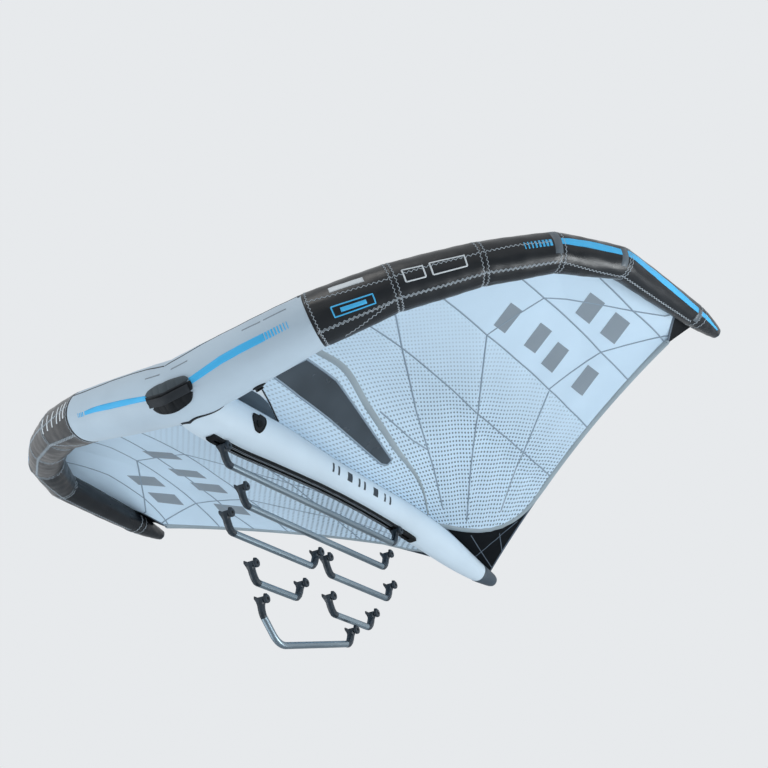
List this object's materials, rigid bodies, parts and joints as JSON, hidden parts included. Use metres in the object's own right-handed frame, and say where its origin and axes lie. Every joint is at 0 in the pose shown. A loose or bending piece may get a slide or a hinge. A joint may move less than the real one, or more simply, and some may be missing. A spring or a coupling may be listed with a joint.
{
  "type": "wingfoil wing",
  "caption": "Hand-held inflatable wing with a swept round leading edge, a centre strut, a cambered canopy with windows, a toothed rail with a straight boom, and spare handles below.",
  "frame": {"origin": "middle of the straight boom's grip, on the tube's axis", "axes": "+X to the wing's right tip seen from behind, +Y from the leading edge to the trailing edge, +Z from the boom to the canopy"},
  "size_m": [2.9626, 2.3471, 1.2368],
  "materials": {
    "white_cloth": "coated cloth",
    "black_cloth": "coated cloth",
    "canopy": "ripstop cloth",
    "tape": "coated cloth",
    "window": "smoked film",
    "dark_grey": "coated cloth",
    "bladder": "clear film",
    "hard_black": "moulded",
    "webbing": "woven",
    "metal": "anodised",
    "nut": "bare"
  },
  "bodies": {
    "wing": {"le_casing_centre": "white_cloth", "le_casing_right_mid": "black_cloth", "le_casing_left_mid": "black_cloth", "le_casing_right_tip": "black_cloth", "le_casing_left_tip": "black_cloth", "tip_cap_right": "dark_grey", "tip_cap_left": "dark_grey", "le_bladder": "bladder", "strut_casing": "white_cloth", "strut_tail_cap": "dark_grey", "strut_bladder": "bladder", "canopy_right": "canopy", "canopy_left": "canopy", "window_right": "window", "window_left": "window", "trailing_tape_right": "tape", "trailing_tape_left": "tape", "closing_panel_right": "black_cloth", "closing_panel_left": "black_cloth", "tip_panel_right": "black_cloth", "tip_panel_left": "black_cloth", "rail_body": "hard_black", "rail_rack": "hard_black", "rail_nose": "hard_black", "rail_tail": "hard_black", "le_valve_base": "hard_black", "strut_valve_cover": "hard_black", "front_handle_pad": "hard_black", "front_grab_strap": "webbing", "long_handle_tube": "metal", "long_handle_front_post": "hard_black", "long_handle_rear_post": "hard_black", "upper_handle_tube": "metal", "upper_handle_front_post": "hard_black", "upper_handle_rear_post": "hard_black", "rear_handle_tube": "metal", "rear_handle_front_post": "hard_black", "rear_handle_rear_post": "hard_black", "short_handle_tube": "metal", "short_handle_front_post": "hard_black", "short_handle_rear_post": "hard_black", "low_handle_tube": "metal", "low_handle_front_post": "hard_black", "low_handle_rear_post": "hard_black", "bent_handle_tube": "metal", "bent_handle_front_post": "hard_black", "bent_handle_rear_post": "hard_black"},
    "boom": {"boom_tube": "metal", "boom_front_post": "hard_black", "boom_rear_post": "hard_black", "front_t_nut": "nut", "rear_t_nut": "nut"},
    "le_valve_lid": {"le_valve_cap": "hard_black"},
    "strut_valve_lid": {"strut_valve_cap": "hard_black"}
  },
  "joints": [
    {"name": "boom_slide", "type": "slide", "parent": "wing", "child": "boom", "axis": [0, 0.9992, -0.0403], "range_m": [-0.02, 0.02]},
    {"name": "le_valve_lid_hinge", "type": "hinge", "parent": "wing", "child": "le_valve_lid", "pos_m": [0.24074, -0.67566, 0.16148], "axis": [-0.9614, -0.134, -0.2404], "range_deg": [0, 110]},
    {"name": "strut_valve_lid_hinge", "type": "hinge", "parent": "wing", "child": "strut_valve_lid", "pos_m": [0.0968, -0.4785, 0.17369], "axis": [0, -1, 0], "range_deg": [0, 110]}
  ]
}
